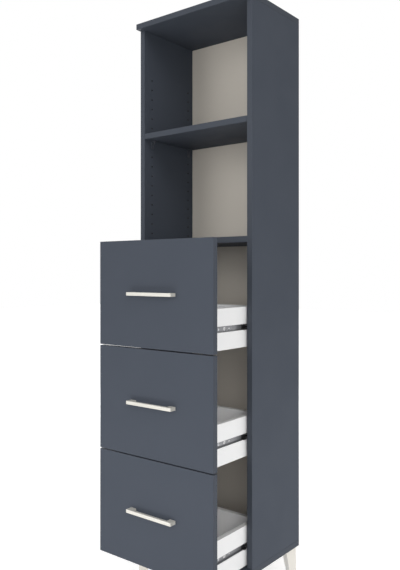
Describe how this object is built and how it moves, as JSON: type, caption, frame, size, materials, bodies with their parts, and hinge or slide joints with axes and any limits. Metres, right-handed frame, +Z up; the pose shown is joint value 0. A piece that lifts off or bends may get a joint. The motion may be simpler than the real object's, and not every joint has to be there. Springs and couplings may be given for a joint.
{
  "type": "storage cabinet",
  "caption": "Tall narrow storage cabinet on four tapered angle legs, with open shelves above drawers on ball-bearing runners, shown drawn open.",
  "frame": {"origin": "on the floor, in the middle of the width and of the depth that the cabinet takes with its drawers open as in the picture", "axes": "+Z up, +X to the right seen from the front, +Y to the back"},
  "size_m": [0.442, 0.4824, 1.851],
  "materials": {
    "graphite_board": "melamine faced board, matt blue-grey graphite",
    "greige_back": "thin board with a smooth greige face",
    "white_drawer_board": "melamine faced board, matt white",
    "handle_metal": "satin pale champagne",
    "leg_steel": "satin pale cream powder coat",
    "runner_steel": "zinc plated",
    "cage_plastic": "black moulded plastic",
    "screw_steel": "zinc plated",
    "support_plastic": "grey moulded plastic",
    "glide_plastic": "black plastic",
    "dowel_wood": "bare beech"
  },
  "bodies": {
    "root": {"adjustable_shelf": "graphite_board", "back_panel": "greige_back", "bottom_panel": "graphite_board", "case_dowels": "dowel_wood", "fixed_shelf": "graphite_board", "front_left_leg": "leg_steel", "front_right_leg": "leg_steel", "left_side_panel": "graphite_board", "leg_glides": "glide_plastic", "leg_screws": "screw_steel", "lower_left_case_rail": "runner_steel", "lower_right_case_rail": "runner_steel", "middle_left_case_rail": "runner_steel", "middle_right_case_rail": "runner_steel", "rear_left_leg": "leg_steel", "rear_right_leg": "leg_steel", "right_side_panel": "graphite_board", "shelf_supports": "support_plastic", "top_panel": "graphite_board", "upper_left_case_rail": "runner_steel", "upper_right_case_rail": "runner_steel"},
    "upper_drawer": {"upper_drawer_bottom": "white_drawer_board", "upper_drawer_dowels": "dowel_wood", "upper_drawer_front": "graphite_board", "upper_drawer_left_side": "white_drawer_board", "upper_drawer_rear": "white_drawer_board", "upper_drawer_right_side": "white_drawer_board", "upper_handle": "handle_metal", "upper_handle_screws": "screw_steel", "upper_left_drawer_channel": "runner_steel", "upper_right_drawer_channel": "runner_steel"},
    "upper_ball_cages": {"upper_left_ball_cage": "cage_plastic", "upper_right_ball_cage": "cage_plastic"},
    "middle_drawer": {"middle_drawer_bottom": "white_drawer_board", "middle_drawer_dowels": "dowel_wood", "middle_drawer_front": "graphite_board", "middle_drawer_left_side": "white_drawer_board", "middle_drawer_rear": "white_drawer_board", "middle_drawer_right_side": "white_drawer_board", "middle_handle": "handle_metal", "middle_handle_screws": "screw_steel", "middle_left_drawer_channel": "runner_steel", "middle_right_drawer_channel": "runner_steel"},
    "middle_ball_cages": {"middle_left_ball_cage": "cage_plastic", "middle_right_ball_cage": "cage_plastic"},
    "lower_drawer": {"lower_drawer_bottom": "white_drawer_board", "lower_drawer_dowels": "dowel_wood", "lower_drawer_front": "graphite_board", "lower_drawer_left_side": "white_drawer_board", "lower_drawer_rear": "white_drawer_board", "lower_drawer_right_side": "white_drawer_board", "lower_handle": "handle_metal", "lower_handle_screws": "screw_steel", "lower_left_drawer_channel": "runner_steel", "lower_right_drawer_channel": "runner_steel"},
    "lower_ball_cages": {"lower_left_ball_cage": "cage_plastic", "lower_right_ball_cage": "cage_plastic"}
  },
  "joints": [
    {"name": "upper_drawer_slide", "type": "slide", "parent": "root", "child": "upper_drawer", "axis": [0, -1, 0], "range_m": [-0.1645, 0]},
    {"name": "upper_cage_slide", "type": "slide", "parent": "root", "child": "upper_ball_cages", "axis": [0, -1, 0], "range_m": [-0.08225, 0]},
    {"name": "middle_drawer_slide", "type": "slide", "parent": "root", "child": "middle_drawer", "axis": [0, -1, 0], "range_m": [-0.1645, 0]},
    {"name": "middle_cage_slide", "type": "slide", "parent": "root", "child": "middle_ball_cages", "axis": [0, -1, 0], "range_m": [-0.08225, 0]},
    {"name": "lower_drawer_slide", "type": "slide", "parent": "root", "child": "lower_drawer", "axis": [0, -1, 0], "range_m": [-0.1645, 0]},
    {"name": "lower_cage_slide", "type": "slide", "parent": "root", "child": "lower_ball_cages", "axis": [0, -1, 0], "range_m": [-0.08225, 0]}
  ],
  "couplings": [
    {"joint": "upper_cage_slide", "follows": "upper_drawer_slide", "ratio": 0.5},
    {"joint": "middle_cage_slide", "follows": "middle_drawer_slide", "ratio": 0.5},
    {"joint": "lower_cage_slide", "follows": "lower_drawer_slide", "ratio": 0.5}
  ]
}
